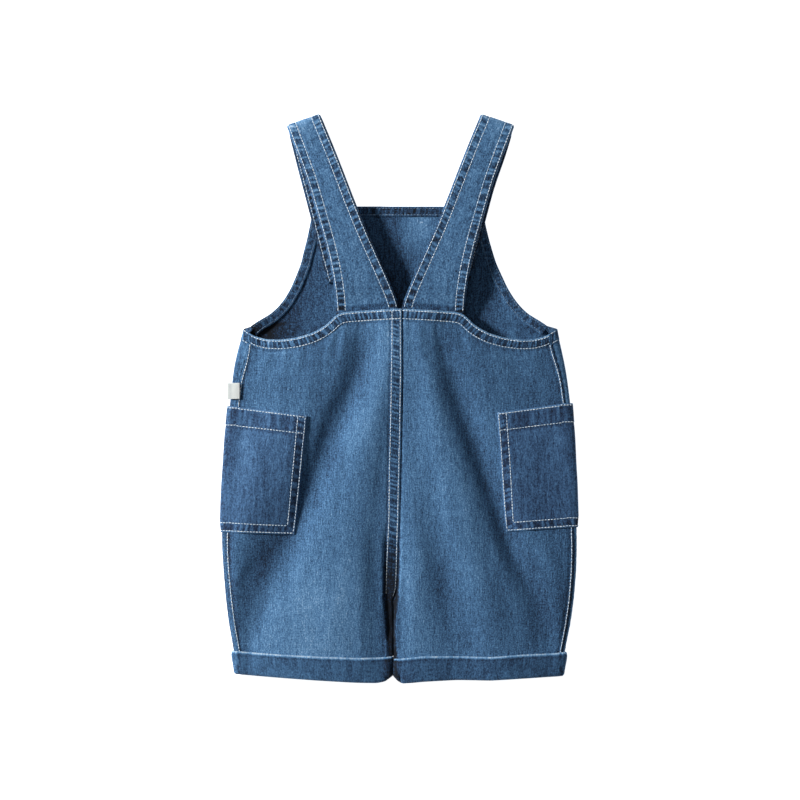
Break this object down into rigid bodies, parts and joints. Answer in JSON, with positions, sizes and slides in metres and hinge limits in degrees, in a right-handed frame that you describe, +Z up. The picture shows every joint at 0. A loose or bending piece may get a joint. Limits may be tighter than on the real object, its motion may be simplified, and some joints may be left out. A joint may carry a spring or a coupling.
{
  "type": "toddler's denim shortalls, laid flat with the back up",
  "caption": "Bib shortalls in light denim, lying back side up: folded straps, yoke hem, centre-back seam, wrapped side pockets and turned-up leg cuffs.",
  "frame": {"origin": "on the surface that the garment lies on, under the middle of its outline", "axes": "+Y from the leg hems to the straps, +X to the viewer's right looking down on the back, +Z up from the surface"},
  "size_m": [0.2878, 0.4539, 0.017],
  "materials": {
    "denim_body": "light blue chambray denim with a fine upright slub, lightly washed",
    "denim_strap": "two layers of the same denim, roped between two rows of off-white topstitching",
    "denim_pocket": "the same denim, a little darker, with off-white topstitching",
    "denim_cuff": "darker denim of the turned-up hem with a pale worn upper edge",
    "denim_wrong_side": "wrong side of the denim, duller and without wear",
    "label_cloth": "plain white woven loop, bare",
    "button_plastic": "plain dark blue four-hole button, satin",
    "thread": "off-white cotton topstitching thread"
  },
  "bodies": {
    "root": {"front": "denim_body", "back_left": "denim_body", "back_right": "denim_body", "back_hem_left": "denim_wrong_side", "back_hem_right": "denim_wrong_side", "front_hem_left": "denim_wrong_side", "front_hem_right": "denim_wrong_side", "front_hem_top": "denim_wrong_side", "strap_left": "denim_strap", "strap_right": "denim_strap", "pocket_left": "denim_pocket", "pocket_right": "denim_pocket", "cuff_left": "denim_cuff", "cuff_right": "denim_cuff", "label": "label_cloth", "button_left": "button_plastic", "button_right": "button_plastic"}
  },
  "joints": []
}
